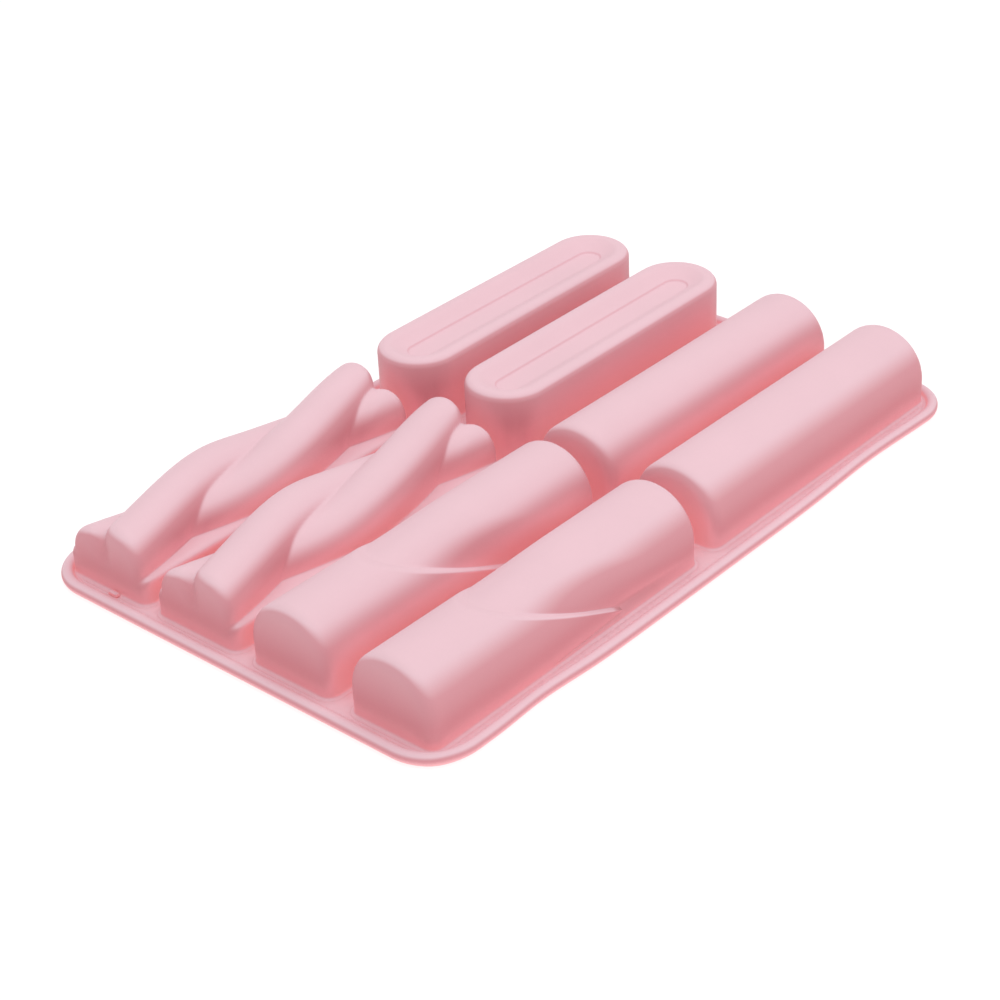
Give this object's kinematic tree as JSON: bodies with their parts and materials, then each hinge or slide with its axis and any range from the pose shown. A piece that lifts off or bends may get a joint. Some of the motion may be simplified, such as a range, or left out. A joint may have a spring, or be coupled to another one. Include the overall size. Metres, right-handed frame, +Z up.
{
  "type": "soap loaf mould",
  "caption": "Flexible soap mould tray with two rows of long loaf cups: rope-twist, lapped, plain round-topped and oval, joined by a flat deck with a rounded rim bead.",
  "frame": {"origin": "middle of the tray on its open underside, the face that rests on a table", "axes": "+X along the cups from the twist and lapped row to the oval and plain row, +Y across the cups towards the twist and oval side, +Z up through the cup crowns"},
  "size_m": [0.3, 0.1918, 0.0317],
  "materials": {
    "deck": "matte pale pink silicone",
    "rim_bead": "matte pale pink silicone",
    "cup_twist_outer": "matte pale pink silicone",
    "cup_twist_inner": "matte pale pink silicone",
    "cup_swirl_inner": "matte pale pink silicone",
    "cup_swirl_outer": "matte pale pink silicone",
    "cup_log_inner": "matte pale pink silicone",
    "cup_log_outer": "matte pale pink silicone",
    "cup_oval_outer": "matte pale pink silicone",
    "cup_oval_inner": "matte pale pink silicone",
    "gate_nub": "matte pale pink silicone"
  },
  "bodies": {
    "root": {"deck": "deck", "rim_bead": "rim_bead", "cup_twist_outer": "cup_twist_outer", "cup_twist_inner": "cup_twist_inner", "cup_swirl_inner": "cup_swirl_inner", "cup_swirl_outer": "cup_swirl_outer", "cup_log_inner": "cup_log_inner", "cup_log_outer": "cup_log_outer", "cup_oval_outer": "cup_oval_outer", "cup_oval_inner": "cup_oval_inner", "gate_nub": "gate_nub"}
  },
  "joints": []
}
